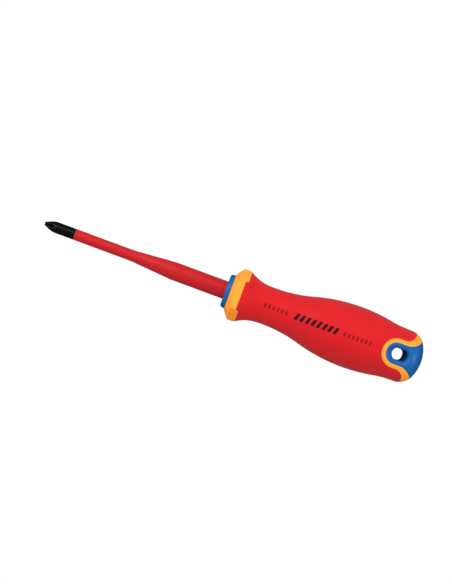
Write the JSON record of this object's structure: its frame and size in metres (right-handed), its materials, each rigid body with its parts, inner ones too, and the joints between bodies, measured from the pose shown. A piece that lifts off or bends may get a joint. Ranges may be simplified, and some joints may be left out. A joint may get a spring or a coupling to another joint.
{
  "type": "insulated screwdriver",
  "caption": "Cross-drive screwdriver with an insulated blade and a layered three-colour handle with a hexagonal anti-roll bolster and a hanging slot.",
  "frame": {"origin": "where the turning axis crosses the front face of the handle's collar", "axes": "+X along the turning axis from the point towards the hanging eye, +Z along the hanging slot, square to two flats of the bolster"},
  "size_m": [0.2082, 0.033, 0.033],
  "materials": {
    "blackened_steel": "satin black oxide",
    "sleeve_plastic": "semi-matt red",
    "core_plastic": "satin blue",
    "middle_plastic": "satin yellow",
    "grip_rubber": "fine matt red"
  },
  "bodies": {
    "root": {"blade": "blackened_steel", "blade_insulation": "sleeve_plastic", "handle_core": "core_plastic", "middle_layer": "middle_plastic", "grip": "grip_rubber"}
  },
  "joints": []
}
